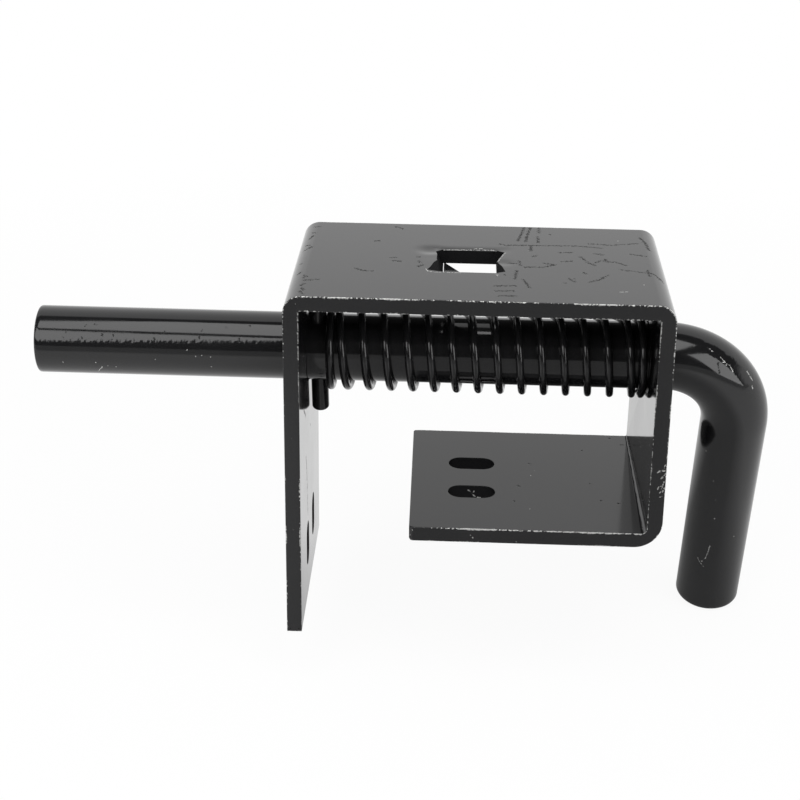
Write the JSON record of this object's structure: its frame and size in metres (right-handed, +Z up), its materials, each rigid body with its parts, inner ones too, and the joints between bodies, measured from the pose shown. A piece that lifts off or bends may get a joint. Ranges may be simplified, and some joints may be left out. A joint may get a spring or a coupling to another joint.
{
  "type": "spring loaded gate latch",
  "caption": "Folded plate bracket carrying a sprung round bolt with a bent handle, a cross pin and a coil return spring.",
  "frame": {"origin": "middle of the flange's two slots, on the flange's underside, where the bracket seats on its beam", "axes": "+X along the bolt from its nose to its handle, +Y from the near edge of the bracket to the far one, +Z up from the flange to the top"},
  "size_m": [0.2191, 0.0674, 0.1216],
  "materials": {
    "bracket_enamel": "gloss black enamel on sheared steel plate",
    "bolt_enamel": "gloss black enamel on steel bar",
    "pin_enamel": "gloss black enamel on steel pin",
    "spring_wire": "gloss black coated spring wire"
  },
  "bodies": {
    "bracket": {"bracket": "bracket_enamel"},
    "spring": {"return_spring": "spring_wire"},
    "bolt": {"bolt_rod": "bolt_enamel", "cross_pin": "pin_enamel"}
  },
  "joints": [
    {"name": "handle_turn", "type": "hinge", "parent": "bracket", "child": "spring", "pos_m": [0, 0, 0.04645], "axis": [1, 0, 0], "continuous": true},
    {"name": "bolt_slide", "type": "slide", "parent": "spring", "child": "bolt", "axis": [1, 0, 0], "range_m": [0, 0.05], "stiffness_N_per_m": 1700, "springref_m": -0.02, "deforming": ["return_spring"]}
  ]
}
